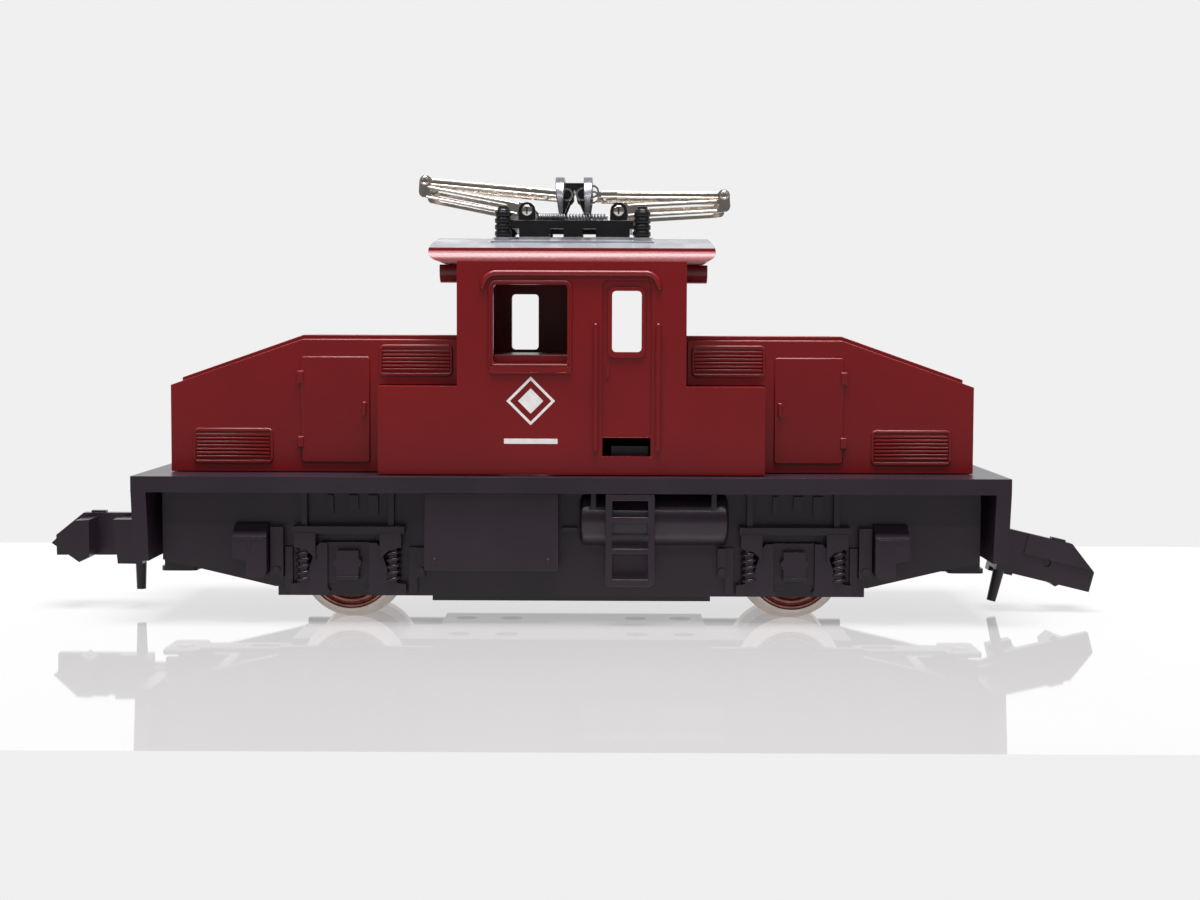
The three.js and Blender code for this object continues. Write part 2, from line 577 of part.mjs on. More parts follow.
// ---- hoods ----
const hoodIn = CAB.x + 0.16;
const hoodStep = CAB.baseX + 0.12;
const hoodUnder = CAB.baseTop + GAP;
const hoodOutline = [
  [HOOD.end, HOOD.bottom], [HOOD.end, HOOD.endTop], [HOOD.bendX, HOOD.top], [hoodIn, HOOD.top],
  [hoodIn, hoodUnder], [hoodStep, hoodUnder], [hoodStep, HOOD.bottom],
];
const w = HOOD.wall;
const hoodHollow = [
  [HOOD.end - w, 9], [HOOD.end - w, HOOD.endTop - 0.65], [HOOD.bendX - 0.1, HOOD.top - w],
  [hoodStep + w, HOOD.top - w], [hoodStep + w, 9],
];
const topPanel = [[26.1, 15.65], [26.1, 15.98], [17.97, 18.85], [hoodIn, 18.85], [hoodIn, 18.4],
  [17.9, 18.4]];

// A framed louvre of horizontal ribs on the -Y face of a hood.
function louvre(x0, x1, z0, z1, ribs) {
  const hood = -HOOD.y;
  const frame = cut(
    prism("y", rounded(x0, x1, z0, z1, 0.3, 2), hood - 0.14, hood + 0.1),
    box(x0 + 0.18, x1 - 0.18, hood - 1, hood, z0 + 0.18, z1 - 0.18),
  );
  const pitch = (z1 - z0 - 0.36) / ribs;
  const slats = Array.from({ length: ribs - 1 }, (_, i) => {
    const z = z0 + 0.18 + pitch * (i + 1);
    return box(x0 + 0.1, x1 - 0.1, hood - 0.12, hood + 0.1, z - 0.08, z + 0.08);
  });
  return union(frame, slats);
}
const onHood = (x0, x1, high, z0, z1) => box(x0, x1, -HOOD.y - high, -HOOD.y + 0.1, z0, z1);
const hoodSide = union(
  louvre(19.9, 25.2, 10.32, 12.62, 8),
  louvre(7.95, 12.8, 16.15, 18.2, 7),
  prism("y", rounded(13.45, 18.0, 10.4, 17.4, 0.15, 2), -HOOD.y - 0.15, -HOOD.y + 0.1),
  onHood(17.85, 18.25, 0.28, 15.67, 16.45),
  onHood(17.85, 18.25, 0.28, 11.4, 12.1),
  onHood(13.68, 13.92, 0.32, 13.5, 14.4),
);
const lamps = [-3.3, 3.3].map((y) => rod("x", y, 11.9, 0.38, HOOD.end - 0.2, HOOD.end + 0.22, 12));
const hood = union(
  cut(prism("y", hoodOutline, -HOOD.y, HOOD.y), prism("y", hoodHollow, w - HOOD.y, HOOD.y - w)),
  prism("y", topPanel, -3.9, 3.9),
  hoodSide,
  hoodSide.mirror([0, 1, 0]),
  lamps,
);
pair("hood_front", "hood_rear", hood, RED);

// ---- couplers: a drop hook that swings on a cross pin held by an upright post ----
const postTop = 7.45;
const crossR = 0.3;
const post = union(
  rod("z", COUPLER.pivotX, 0, postR, 2.7, postTop, 14),
  rod("y", COUPLER.pivotX, COUPLER.z, crossR, -1.35, 1.35, 12),
);
pair("coupler_post_front", "coupler_post_rear", post, STEEL);

// Side outline of the hook's back plate, level, with a sloping nose.
const backPlate = [[29.4, 3.48], [36.0, 3.45], [36.03, 4.85], [34.1, 6.41], [29.4, 6.41]];
const hookHead = [[33.1, 3.58], [33.8, 3.23], [35.67, 4.56], [34.05, 6.09], [33.1, 6.15]];
const collar = [[29.4, 3.5], [31.1, 3.5], [31.35, 6.15], [29.4, 6.15]];
const collarSide = [[29.4, 3.15], [31.1, 3.17], [31.4, 6.2], [29.4, 6.2]];
const cheeks = [[-1.3, -0.75], [0.75, 1.3]].map(([y0, y1]) =>
  prism("y", bar([COUPLER.pivotX, COUPLER.z], [29.6, COUPLER.z], 0.8, 0.8, 5), y0, y1),
);
const coupler = cut(
  union(
    prism("y", backPlate, -1.45, -0.7),
    prism("y", collar, -1.4, 0.8),
    prism("y", collarSide, 0.7, 1.9),
    prism("y", hookHead, -0.8, 1.7),
    box(32.6, 33.6, -1.45, -0.9, 6.3, 6.55),
    prism("y", [[31.0, 5.0], [35.9, 4.95], [34.1, 6.35], [31.0, 6.35]], -1.6, -1.4),
    solid(new THREE.CylinderGeometry(0.41, 0.32, 2.5, 12).rotateX(Math.PI / 2)
      .translate(29.95, 0, 2.45)),
    cheeks,
  ),
  rod("y", COUPLER.pivotX, COUPLER.z, crossR + 0.05, -2, 2, 12),
  rod("y", 32.7, 4.75, 0.32, -2, -1.3, 8),
);
const sprung = coil(0.62, 0.1, 0.42, 4, 8);
for (const [end, droop, parent] of [
  ["front", COUPLER.droopDeg, root],
  ["rear", 0, turned],
]) {
  const swing = new THREE.Group();
  swing.position.set(COUPLER.pivotX, 0, COUPLER.z);
  swing.rotation.y = THREE.MathUtils.degToRad(droop);
  parent.add(swing);
  put(`coupler_${end}`, coupler, BLACK, swing).position.set(-COUPLER.pivotX, 0, -COUPLER.z);
  put(`coupler_spring_${end}`, sprung, STEEL, parent).position.set(25.2, 0, COUPLER.z);
}

// ---- pantograph ----
const beamY = [3.5, 4.1];
const lug = bar([PANTO.lugX, 26.3], [PANTO.lugX, PANTO.lugZ], 0.57, 0.57, 6);
const shaftR = 0.33;
const feet = [[-3.57, -1.52], [-0.62, 0.64], [1.53, 3.79]];
const baseSide = union(
  box(-4.05, 4.05, -beamY[1], -beamY[0], 25.95, 26.5),
  feet.map(([x0, x1]) => box(x0, x1, -beamY[1], -beamY[0], 25.42, 26.0)),
  prism("y", lug, -beamY[1] + 0.1, -beamY[0]),
  prism("y", lug.map(([x, z]) => [-x, z]), -beamY[1] + 0.1, -beamY[0]),
);
const pantoBase = cut(
  union(
    baseSide,
    baseSide.rotate([0, 0, 180]),
    [[-4.0, -3.4], [-0.35, 0.35], [3.4, 4.0]].map(([x0, x1]) => box(x0, x1, -3.6, 3.6, 25.98, 26.4)),
  ),
  [-1, 1].map((h) => rod("y", h * PANTO.lugX, PANTO.lugZ, shaftR + 0.05, -5, 5, 14)),
);
put("panto_base", pantoBase, BLACK);

// Ribbed insulator, turned about Z.
const shed = [0.56, 0.46];
const insulatorProfile = [[0, 25.36], [0.5, 25.36]];
for (let i = 0; i < 4; i++) {
  const z = 25.5 + i * 0.42;
  insulatorProfile.push([shed[0], z], [shed[0], z + 0.24], [shed[1], z + 0.33]);
}
insulatorProfile.push([0.42, 27.22], [0.25, 27.24], [0.25, 27.45], [0, 27.45]);
const insulator = solid(
  new THREE.LatheGeometry(insulatorProfile.map(([r, z]) => new THREE.Vector2(r, z)), 10)
    .rotateX(Math.PI / 2),
);
for (const [tag, x] of [["a", -4.63], ["b", 4.63]]) {
  put(`panto_insulator_near_${tag}`, insulator, BLACK).position.set(x, -4.12, 0);
  put(`panto_insulator_far_${tag}`, insulator, BLACK, turned).position.set(x, -4.12, 0);
}

// Lower arm: slotted side strips on a base shaft. Each strip runs to a heel below the knee, and a
// plate carries the knee rod above it.
function lowerArm(hand, knee) {
  const foot = [hand * PANTO.lugX, PANTO.lugZ];
  const heel = [knee[0] - hand * 0.17, knee[1] - 0.72];
  const slot = bar(between(foot, heel, 0.22), between(foot, heel, 0.95), 0.2, 0.2, 3);
  const side = union(
    prism("y", bar(foot, heel, 0.48, 0.42, 6), -3.35, -3.05, [slot]),
    prism("y", bar([heel[0] + hand * 0.22, heel[1] - 0.04], knee, 0.36, 0.36, 5), -3.35, -3.05)
      .subtract(prism("y", slot, -4, -2)),
  );
  return union(
    side,
    side.mirror([0, 1, 0]),
    rod("y", foot[0], foot[1], shaftR, -4.08, 4.08, 14),
    rod("y", knee[0], knee[1], 0.22, -3.2, 3.2, 10),
  );
}
put("panto_lower_arm_rear", lowerArm(-1, PANTO.kneeL), NICKEL);
put("panto_lower_arm_front", lowerArm(1, PANTO.kneeR), NICKEL);

// Upper arm: slim side rods with an eye at each end and two cross rods. The eye at the head is
// round for the arm that carries the head, and a slot as far as slotEnd for the one whose pivot is
// left open. The open arm lies outside the other, so that the two pass where they meet.
function upperArm(knee, pin, outer, slotEnd) {
  const flat = (outline) => prism("y", outline, -outer, -outer + 0.24);
  const shapes = [bar(knee, pin, 0.17, 0.17, 3), disc(knee[0], knee[1], 0.42, 10),
    bar(pin, slotEnd, 0.45, 0.45, 5)];
  const holes = [disc(knee[0], knee[1], 0.28, 8), bar(pin, slotEnd, 0.32, 0.32, 6)];
  const side = cut(union(shapes.map(flat)), holes.map((hole) => prism("y", hole, -3.5, -2)));
  const braces = [0.14, 0.84].map((t) => {
    const p = between(knee, pin, t);
    return rod("y", p[0], p[1], 0.15, 0.1 - outer, outer - 0.1, 8);
  });
  return union(side, side.mirror([0, 1, 0]), braces);
}
const onPin = [HEAD.pinL[0] - 0.001, HEAD.pinL[1]];
put("panto_upper_arm_rear", upperArm(PANTO.kneeL, HEAD.pinL, 2.6, onPin), NICKEL);
put("panto_upper_arm_front", upperArm(PANTO.kneeR, HEAD.pinR, 2.92, OPEN_SLOT), NICKEL);

// Head: a carrier with splayed legs on the two pivot pins, and two contact shoes.
const shoeX = 0.93;
const legs = [-1, 1].flatMap((hand) =>
  [-2.25, 1.85].map((y) =>
    prism("y", bar([HEAD.mid + hand * 0.3, 28.75], [HEAD.mid + hand * 0.78, 27.25], 0.3, 0.18, 4),
      y, y + 0.4),
  ),
);
const carrier = union(
  box(HEAD.mid - 0.62, HEAD.mid + 0.62, -2.3, 2.3, 28.6, 29.1),
  legs,
  rod("y", HEAD.pinL[0], HEAD.pinL[1], 0.2, -2.64, 2.64, 10),
  rod("y", HEAD.pinR[0], HEAD.pinR[1], 0.19, -3.02, 3.02, 10),
);
put("panto_head", carrier, BLACK);

// Shoe outline in the Y-Z plane: a level strip with horns curving down at both ends.
const shoeTop = [[5.6, 26.85], [5.45, 27.9], [5.0, 28.8], [4.2, 29.3], [3.4, 29.4]];
const shoeUnder = [[3.3, 29.0], [4.0, 28.92], [4.65, 28.5], [5.05, 27.75], [5.2, 26.8]];
const shoeOutline = [...shoeTop, ...shoeTop.map(([y, z]) => [-y, z]).reverse(),
  ...shoeUnder.map(([y, z]) => [-y, z]).reverse(), ...shoeUnder];
for (const [end, hand] of [["rear", -1], ["front", 1]]) {
  const x = HEAD.mid + hand * shoeX;
  const tip = x - hand * 0.08;
  const taper = [[tip - 0.09, 26.6], [tip + 0.09, 26.6], [x + 0.28, 28.4], [x + 0.3, 29.6],
    [x - 0.3, 29.6], [x - 0.28, 28.4]];
  put(`panto_shoe_${end}`,
    prism("x", shoeOutline, x - 0.3, x + 0.3).intersect(prism("y", taper, -6, 6)), STEEL);
}

// Raising springs beside the base beams.
const spring = coil(0.26, 0.09, 0.4, 12, 5);
for (const [tag, parent] of [["near", root], ["far", turned]])
  put(`panto_spring_${tag}`, spring, STEEL, parent).position.set(0, -2.6, 26.86);

export default root;
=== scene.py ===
"""A small-scale model electric locomotive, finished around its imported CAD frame.

Lengths in this script are millimetres, turned to metres as each mesh is made. +X is the front end,
-Y the side towards the camera, +Z up. The body has two-fold symmetry about Z, so what stands on
the -Y side is repeated on the +Y side by a half turn.
"""

import math

import bmesh
import bpy
from mathutils import Matrix, Vector

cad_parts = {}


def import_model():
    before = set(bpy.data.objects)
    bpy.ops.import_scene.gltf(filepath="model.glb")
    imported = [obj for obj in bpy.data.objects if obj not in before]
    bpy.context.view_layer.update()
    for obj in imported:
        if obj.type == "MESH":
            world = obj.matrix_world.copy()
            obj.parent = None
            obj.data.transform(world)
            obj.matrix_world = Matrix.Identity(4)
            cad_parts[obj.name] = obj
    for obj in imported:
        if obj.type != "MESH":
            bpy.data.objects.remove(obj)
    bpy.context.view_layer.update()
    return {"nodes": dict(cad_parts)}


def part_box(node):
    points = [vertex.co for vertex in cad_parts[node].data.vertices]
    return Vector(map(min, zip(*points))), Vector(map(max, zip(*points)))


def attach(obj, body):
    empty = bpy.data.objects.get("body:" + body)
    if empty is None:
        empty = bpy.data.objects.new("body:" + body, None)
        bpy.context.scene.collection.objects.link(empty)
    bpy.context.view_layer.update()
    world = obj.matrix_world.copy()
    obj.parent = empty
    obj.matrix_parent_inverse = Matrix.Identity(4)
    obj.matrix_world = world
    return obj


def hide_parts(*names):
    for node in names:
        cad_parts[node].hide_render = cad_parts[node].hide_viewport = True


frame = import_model()

MM = 0.001
HALF_TURN = Matrix.Rotation(math.pi, 4, "Z")
BODY = "locomotive_body"

# Colours shared by several pieces, and the strength of the table's inner glow.
RED_LOW, RED_HIGH = "#6f060c", "#77070d"
BLACK_LOW, BLACK_HIGH = "#231923", "#2a1f29"
TABLE_LOW, TABLE_HIGH, TABLE_GLOW = "#7e7d7e", "#828182", 0.34

# Heights on the roof's edge: where it sits on the cab walls, its lip, and the start of its arch.
SEAM, ROOF_LIP, ROOF_EDGE = 23.67, 24.36, 24.56

# Corner rounding: edges that turn further than this are rounded, in this many steps.
CORNER_TURN_DEG, CORNER_STEPS = 38, 3
SHORTEST_EDGE = 0.6     # of the rounding's width; shorter edges stay as they are
SAME_HEIGHT_MM = 0.02   # how near a kept edge lies to its height
WELD_MM, FLAT_DEG = 0.002, 0.6
POLE_WELD_MM = 0.0001

# Widths of the rounded corners, piece by piece.
SHELL_CORNER, BARREL_CORNER, THIN_CORNER, CHASSIS_CORNER = 0.1, 0.06, 0.05, 0.07
ARM_CORNER, FINE_CORNER = 0.09, 0.04


# ---------------------------------------------------------------- colours and nodes
def linear(hex_colour):
    """An sRGB hex value as linear light."""
    parts = [int(hex_colour[i:i + 2], 16) / 255 for i in (1, 3, 5)]
    return [c / 12.92 if c <= 0.04045 else ((c + 0.055) / 1.055) ** 2.4 for c in parts] + [1.0]


def add(tree, kind, settings=None, links=None):
    """Adds one node: settings by property or socket name, links as {socket: (node, output)}."""
    node = tree.nodes.new("ShaderNode" + kind)
    for key, value in (settings or {}).items():
        if isinstance(key, str) and hasattr(node, key):
            setattr(node, key, value)
        else:
            node.inputs[key].default_value = value
    for key, (source, output) in (links or {}).items():
        tree.links.new(source.outputs[output], node.inputs[key])
    return node


def shader(name, **sockets):
    """A new material with its Principled shader's own sockets set."""
    material = bpy.data.materials.new(name)
    material.use_nodes = True
    tree = material.node_tree
    surface = tree.nodes["Principled BSDF"]
    for key, value in sockets.items():
        surface.inputs[key.replace("_", " ")].default_value = value
    return material, tree, surface


def per_metre(size_mm):
    """The texture scale that gives features of that size."""
    return 1 / (size_mm * MM)


def ramp(tree, source, output, stops):
    """A colour ramp over a node's output, from (place, colour) stops."""
    node = add(tree, "ValToRGB", links={"Fac": (source, output)})
    elements = node.color_ramp.elements
    while len(elements) < len(stops):
        elements.new(0.5)
    for element, (place, colour) in zip(elements, stops):
        element.position = place
        element.color = colour
    return node


def grain(tree, surface, coords, size_mm, depth_mm):
    """Fine unevenness left by a mould or a tool, as a bump of real depth."""
    noise = add(tree, "TexNoise", {"Scale": per_metre(size_mm), "Detail": 3},
                {"Vector": (coords, "Object")})
    bump = add(tree, "Bump", {"Strength": 1.0, "Distance": depth_mm * MM}, {"Height": (noise, "Fac")})
    tree.links.new(bump.outputs["Normal"], surface.inputs["Normal"])


def cloudy(tree, surface, coords, size_mm, dark, light):
    """Slow change of colour over the surface between two close shades."""
    noise = add(tree, "TexNoise", {"Scale": per_metre(size_mm), "Detail": 4},
                {"Vector": (coords, "Object")})
    shade = ramp(tree, noise, "Fac", [(0.3, linear(dark)), (0.7, linear(light))])
    tree.links.new(shade.outputs["Color"], surface.inputs["Base Color"])


# ---------------------------------------------------------------- materials
def red_abs():
    """ABS moulded in deep red against a polished tool: an even semi-gloss with faint flow cloud."""
    material, tree, surface = shader("red_abs_moulded", Roughness=0.3, IOR=1.49)
    coords = add(tree, "TexCoord")
    cloudy(tree, surface, coords, 6, RED_LOW, RED_HIGH)
    grain(tree, surface, coords, 0.22, 0.002)
    return material


def roof_red():
    """The roof moulding: red ABS with a pink painted highlight, laid on in specks, over its rounded
    shoulders, and pale grey enamel sprayed over the arch, which catches the room as a soft silvery
    sheet."""
    material, tree, surface = shader("red_abs_with_grey_roof_enamel", IOR=1.5)
    coords = add(tree, "TexCoord")
    red = add(tree, "TexNoise", {"Scale": per_metre(6), "Detail": 4}, {"Vector": (coords, "Object")})
    red_shade = ramp(tree, red, "Fac", [(0.3, linear(RED_LOW)), (0.7, linear(RED_HIGH))])
    grey = add(tree, "TexNoise", {"Scale": per_metre(2.2), "Detail": 5},
               {"Vector": (coords, "Object")})
    grey_shade = ramp(tree, grey, "Fac", [(0.35, linear("#7e7f86")), (0.65, linear("#94959b"))])
    height = add(tree, "SeparateXYZ", links={"Vector": (coords, "Object")})
    on_arch = add(tree, "MapRange", {"From Min": (ROOF_EDGE - 0.02) * MM,
                                     "From Max": (ROOF_EDGE + 0.03) * MM}, {"Value": (height, "Z")})
    highlight_from_seam = add(tree, "MapRange", {"From Min": (SEAM - 0.05) * MM,
                                   "From Max": (SEAM + 0.3) * MM}, {"Value": (height, "Z")})
    below_lip = add(tree, "MapRange", {"From Min": (ROOF_LIP + 0.02) * MM,
                                       "From Max": (ROOF_LIP - 0.04) * MM}, {"Value": (height, "Z")})
    specks = add(tree, "TexNoise", {"Scale": per_metre(0.16), "Detail": 3},
                 {"Vector": (coords, "Object")})
    cover = add(tree, "MapRange", {"From Min": 0.35, "From Max": 0.65, "To Min": 0.3,
                                   "To Max": 0.62}, {"Value": (specks, "Fac")})
    band = add(tree, "Math", {"operation": "MULTIPLY"},
               {0: (highlight_from_seam, "Result"), 1: (below_lip, "Result")})
    amount = add(tree, "Math", {"operation": "MULTIPLY"}, {0: (band, "Value"), 1: (cover, "Result")})
    # pink painted highlight over the shoulder band, from the seam up to the lip
    red_with_painted_highlight = add(tree, "MixRGB", {"Color2": linear("#98646b")},
                 {"Fac": (amount, "Value"), "Color1": (red_shade, "Color")})
    mixed = add(tree, "MixRGB", links={"Fac": (on_arch, "Result"), "Color1": (red_with_painted_highlight, "Color"),
                                       "Color2": (grey_shade, "Color")})
    tree.links.new(mixed.outputs["Color"], surface.inputs["Base Color"])
    rough = add(tree, "MapRange", {"To Min": 0.38, "To Max": 0.2}, {"Value": (on_arch, "Result")})
    tree.links.new(rough.outputs["Result"], surface.inputs["Roughness"])
    grain(tree, surface, coords, 0.16, 0.006)
    return material


def black_abs():
    """ABS moulded in warm black from a finely etched tool: a satin skin with soft reflections."""
    material, tree, surface = shader("black_abs_satin", Roughness=0.3, IOR=1.49)
    coords = add(tree, "TexCoord")
    cloudy(tree, surface, coords, 4, BLACK_LOW, BLACK_HIGH)
    grain(tree, surface, coords, 0.12, 0.002)
    return material


def deep_black_abs():
    """ABS moulded in jet black from a polished tool: glossy, with small bright reflections."""
    material, tree, surface = shader("jet_black_abs_gloss", Roughness=0.24, IOR=1.5)
    coords = add(tree, "TexCoord")
    cloudy(tree, surface, coords, 1.5, "#0f0e10", "#171518")
    grain(tree, surface, coords, 0.2, 0.002)
    return material


def nickel():
    """Nickel plate over turned or stamped brass: bright and faintly warm, its
    reflections a little uneven."""
    material, tree, surface = shader("bright_nickel_plate", Metallic=1.0, Roughness=0.1)
    coords = add(tree, "TexCoord")
    cloudy(tree, surface, coords, 0.8, "#cfc6bd", "#e3dad1")
    grain(tree, surface, coords, 0.3, 0.0004)
    return material


def tyre_nickel():
    """Nickel plate on the turned wheel tyres, given a pale cream colour and only a weak metal shine:
    the cream is a painted reflection of the white table."""
    material, tree, surface = shader("nickel_tyres_painted_reflection", Metallic=0.3, Roughness=0.34)
    coords = add(tree, "TexCoord")
    # pale cream base colour: painted reflection of the table in place of a metal's own reflection
    cloudy(tree, surface, coords, 0.8, "#f1e2d5", "#faf0e6")
    grain(tree, surface, coords, 0.25, 0.002)
    return material


def steel():
    """Drawn steel wire and pressings: grey, softly bright and faintly mottled."""
    material, tree, surface = shader("drawn_steel", Metallic=1.0, Roughness=0.34)
    coords = add(tree, "TexCoord")
    cloudy(tree, surface, coords, 0.6, "#7f7f84", "#a09fa3")
    grain(tree, surface, coords, 0.2, 0.002)
    return material


def brass():
    """Machined brass, a little dulled by handling."""
    material, tree, surface = shader("machined_brass", Metallic=1.0, Roughness=0.3)
    coords = add(tree, "TexCoord")
    cloudy(tree, surface, coords, 0.7, "#a5854a", "#c29f5c")
    grain(tree, surface, coords, 0.2, 0.002)
    return material


def cast_zinc():
    """Die-cast zinc, chemically blackened: dark grey and matt with a sandy skin."""
    material, tree, surface = shader("blackened_cast_zinc", Metallic=0.7, Roughness=0.6)
    coords = add(tree, "TexCoord")
    cloudy(tree, surface, coords, 1.5, "#39373b", "#4b494d")
    grain(tree, surface, coords, 0.15, 0.01)
    return material


def wheel_brown():
    """Copper-red paint on moulded wheel centres: metallic flake in a semi-gloss binder,
    seen as a fine mottle of copper and red-brown."""
    material, tree, surface = shader("copper_red_wheel_paint", Metallic=0.45, Roughness=0.35)
    coords = add(tree, "TexCoord")
    cloudy(tree, surface, coords, 0.5, "#9a5248", "#c28474")
    grain(tree, surface, coords, 0.15, 0.003)
    return material


def shoe_grey():
    """Grey metallic paint on the contact shoes, worn to lighter and darker patches."""
    material, tree, surface = shader("grey_shoe_paint", Metallic=0.85, Roughness=0.25)
    coords = add(tree, "TexCoord")
    cloudy(tree, surface, coords, 0.7, "#5a5b61", "#84858b")
    grain(tree, surface, coords, 0.2, 0.003)
    return material


def lens():
    """Clear styrene lamp lens, slightly yellowed."""
    material, tree, surface = shader("clear_styrene_lens", Roughness=0.08, IOR=1.55)
    coords = add(tree, "TexCoord")
    cloudy(tree, surface, coords, 0.8, "#e3d8b8", "#f2ead2")
    surface.inputs["Transmission Weight"].default_value = 0.4
    grain(tree, surface, coords, 0.4, 0.003)
    return material


def white_print():
    """White pad-printing ink: thin, even and slightly matt."""
    material, tree, surface = shader("white_pad_printing", Roughness=0.45, IOR=1.5)
    coords = add(tree, "TexCoord")
    cloudy(tree, surface, coords, 0.4, "#e2dcdd", "#f2eeee")
    grain(tree, surface, coords, 0.1, 0.001)
    return material


RED, ROOF_RED, BLACK, JET = red_abs(), roof_red(), black_abs(), deep_black_abs()
NICKEL, TYRE, STEEL, BRASS, ZINC = nickel(), tyre_nickel(), steel(), brass(), cast_zinc()
BROWN, GREY, LENS, PRINT = wheel_brown(), shoe_grey(), lens(), white_print()


# ---------------------------------------------------------------- mesh helpers
def finish_piece(name, bm, material, body, smooth_deg=35, weighted=False, crisp=()):
    """Turns a bmesh in metres into a shown piece that rides on a body. Edges in crisp, and those
    that turn by more than smooth_deg, are shaded sharp."""
    bm.normal_update()
    for face in bm.faces:
        face.smooth = True
    for edge in bm.edges:
        edge.smooth = edge.calc_face_angle(math.pi) < math.radians(smooth_deg)
    for edge in crisp:
        edge.smooth = False
    mesh = bpy.data.meshes.new(name)
    bm.to_mesh(mesh)
    bm.free()
    piece = bpy.data.objects.new(name, mesh)
    bpy.context.scene.collection.objects.link(piece)
    mesh.materials.append(material)
    if weighted:
        normals = piece.modifiers.new("even_flats", "WEIGHTED_NORMAL")
        normals.keep_sharp = True
    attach(piece, body)
    return piece


def merged_copy(node):
    """A CAD node's mesh, its loose triangles joined and its flats made single faces."""
    bm = bmesh.new()
    bm.from_mesh(frame["nodes"][node].data)
    bmesh.ops.remove_doubles(bm, verts=bm.verts, dist=WELD_MM * MM)
    bmesh.ops.dissolve_limit(bm, angle_limit=math.radians(FLAT_DEG), verts=bm.verts, edges=bm.edges)
    return bm


def soften(bm, width_mm, keep_at_mm=None):
    """Rounds every sharp edge, as a mould's corners are, and returns the new faces. Edges lying
    at the height keep_at_mm stay sharp, so that two mouldings meet there without a groove."""
    def kept(edge):
        return keep_at_mm is not None and all(
            abs(v.co.z - keep_at_mm * MM) < SAME_HEIGHT_MM * MM for v in edge.verts)

    edges = [e for e in bm.edges if len(e.link_faces) == 2 and not kept(e)
             and e.calc_face_angle(0) > math.radians(CORNER_TURN_DEG)
             and e.calc_length() > SHORTEST_EDGE * width_mm * MM]
    out = bmesh.ops.bevel(bm, geom=edges, offset=width_mm * MM, offset_type="OFFSET",
                          segments=CORNER_STEPS, profile=0.5, affect="EDGES",
                          clamp_overlap=True, material=-1)
    return set(out["faces"])


def softened(node, width_mm, material, body=BODY, keep_at_mm=None):
    """A copy of a CAD node with moulded corners, shown in its place. Where a corner meets a flat
    the shading breaks, so that the flat stays flat."""
    bm = merged_copy(node)
    corners = soften(bm, width_mm, keep_at_mm)
    crisp = [e for e in bm.edges if len(e.link_faces) == 2
             and (e.link_faces[0] in corners) != (e.link_faces[1] in corners)]
    piece = finish_piece(node + "_shell", bm, material, body, weighted=True, crisp=crisp)
    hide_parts(node)


def paint(node, material):
    """Gives a CAD node its finish."""
    slots = frame["nodes"][node].data.materials
    slots.clear()
    slots.append(material)


def spun(profile_mm, centre_mm, steps, upright=False):
    """A closed body of revolution from a profile of (radius, along), about an axis through its
    centre that runs along Y, or along Z where it stands upright."""
    bm = bmesh.new()
    verts = [bm.verts.new((r * MM, 0, z * MM)) for r, z in profile_mm]
    edges = [bm.edges.new(pair) for pair in zip(verts, verts[1:])]
    if profile_mm[0][0] > 0:
        edges.append(bm.edges.new((verts[-1], verts[0])))
    bmesh.ops.spin(bm, geom=verts + edges, cent=(0, 0, 0), axis=(0, 0, 1), angle=2 * math.pi,
                   steps=steps, use_merge=True)
    bmesh.ops.remove_doubles(bm, verts=bm.verts, dist=POLE_WELD_MM * MM)
    bmesh.ops.recalc_face_normals(bm, faces=bm.faces)
    if not upright:
        turn = Matrix.Rotation(math.pi / 2, 4, "X")
        bmesh.ops.transform(bm, matrix=turn, verts=bm.verts)
    bmesh.ops.translate(bm, vec=Vector(centre_mm) * MM, verts=bm.verts)
    return bm


def centre_of(node):
    """The middle of a CAD node's box, in millimetres."""
    low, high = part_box(node)
    return [(a + b) / 2 / MM for a, b in zip(low, high)]


def join(bm, other):
    """Adds other's faces to bm."""
    mesh = bpy.data.meshes.new("joining")
    other.to_mesh(mesh)
    other.free()
    bm.from_mesh(mesh)
    bpy.data.meshes.remove(mesh)


# ---------------------------------------------------------------- small detail builders
def both_sides(name, build, material, smooth_deg=35):
    """A detail on the -Y side of the body and its half turn on the +Y side."""
    for side, turn in (("near", Matrix.Identity(4)), ("far", HALF_TURN)):
        bm = build()
        bmesh.ops.transform(bm, matrix=turn, verts=bm.verts)
        finish_piece(f"{name}_{side}", bm, material, BODY, smooth_deg)


def block(bm, low_mm, high_mm):
    """Adds a box between two corners to bm."""
    made = bmesh.ops.create_cube(bm, size=1.0)["verts"]
    low, high = Vector(low_mm) * MM, Vector(high_mm) * MM
    bmesh.ops.scale(bm, vec=high - low, verts=made)
    bmesh.ops.translate(bm, vec=(low + high) / 2, verts=made)


def helix_tube(bm, start_mm, along, radius_mm, wire_mm, pitch_mm, turns, sides=8, per_turn=18):
    """Adds a coil of round wire to bm: a round section swept about a unit axis while it climbs."""
    axis = Vector(along).normalized()
    across = axis.orthogonal().normalized()
    section = bmesh.ops.create_circle(bm, cap_ends=True, radius=wire_mm * MM,
                                      segments=sides)["verts"]
    stand = Matrix((across, axis, across.cross(axis))).transposed().to_4x4()
    start = Vector(start_mm) * MM
    place = Matrix.Translation(start + across * radius_mm * MM)
    bmesh.ops.transform(bm, matrix=place @ stand, verts=section)
    edges = {e for v in section for e in v.link_edges}
    faces = {f for v in section for f in v.link_faces}
    steps = int(turns * per_turn)
    bmesh.ops.spin(bm, geom=section + list(edges) + list(faces), cent=start, axis=axis,
                   dvec=axis * (pitch_mm * MM / per_turn), angle=2 * math.pi * steps / per_turn,
                   steps=steps)
    bmesh.ops.recalc_face_normals(bm, faces=bm.faces)


TIP_LENGTH, TIP_SIZE = 0.5, 0.6  # a bead's rounded tip: its length and end, in radii


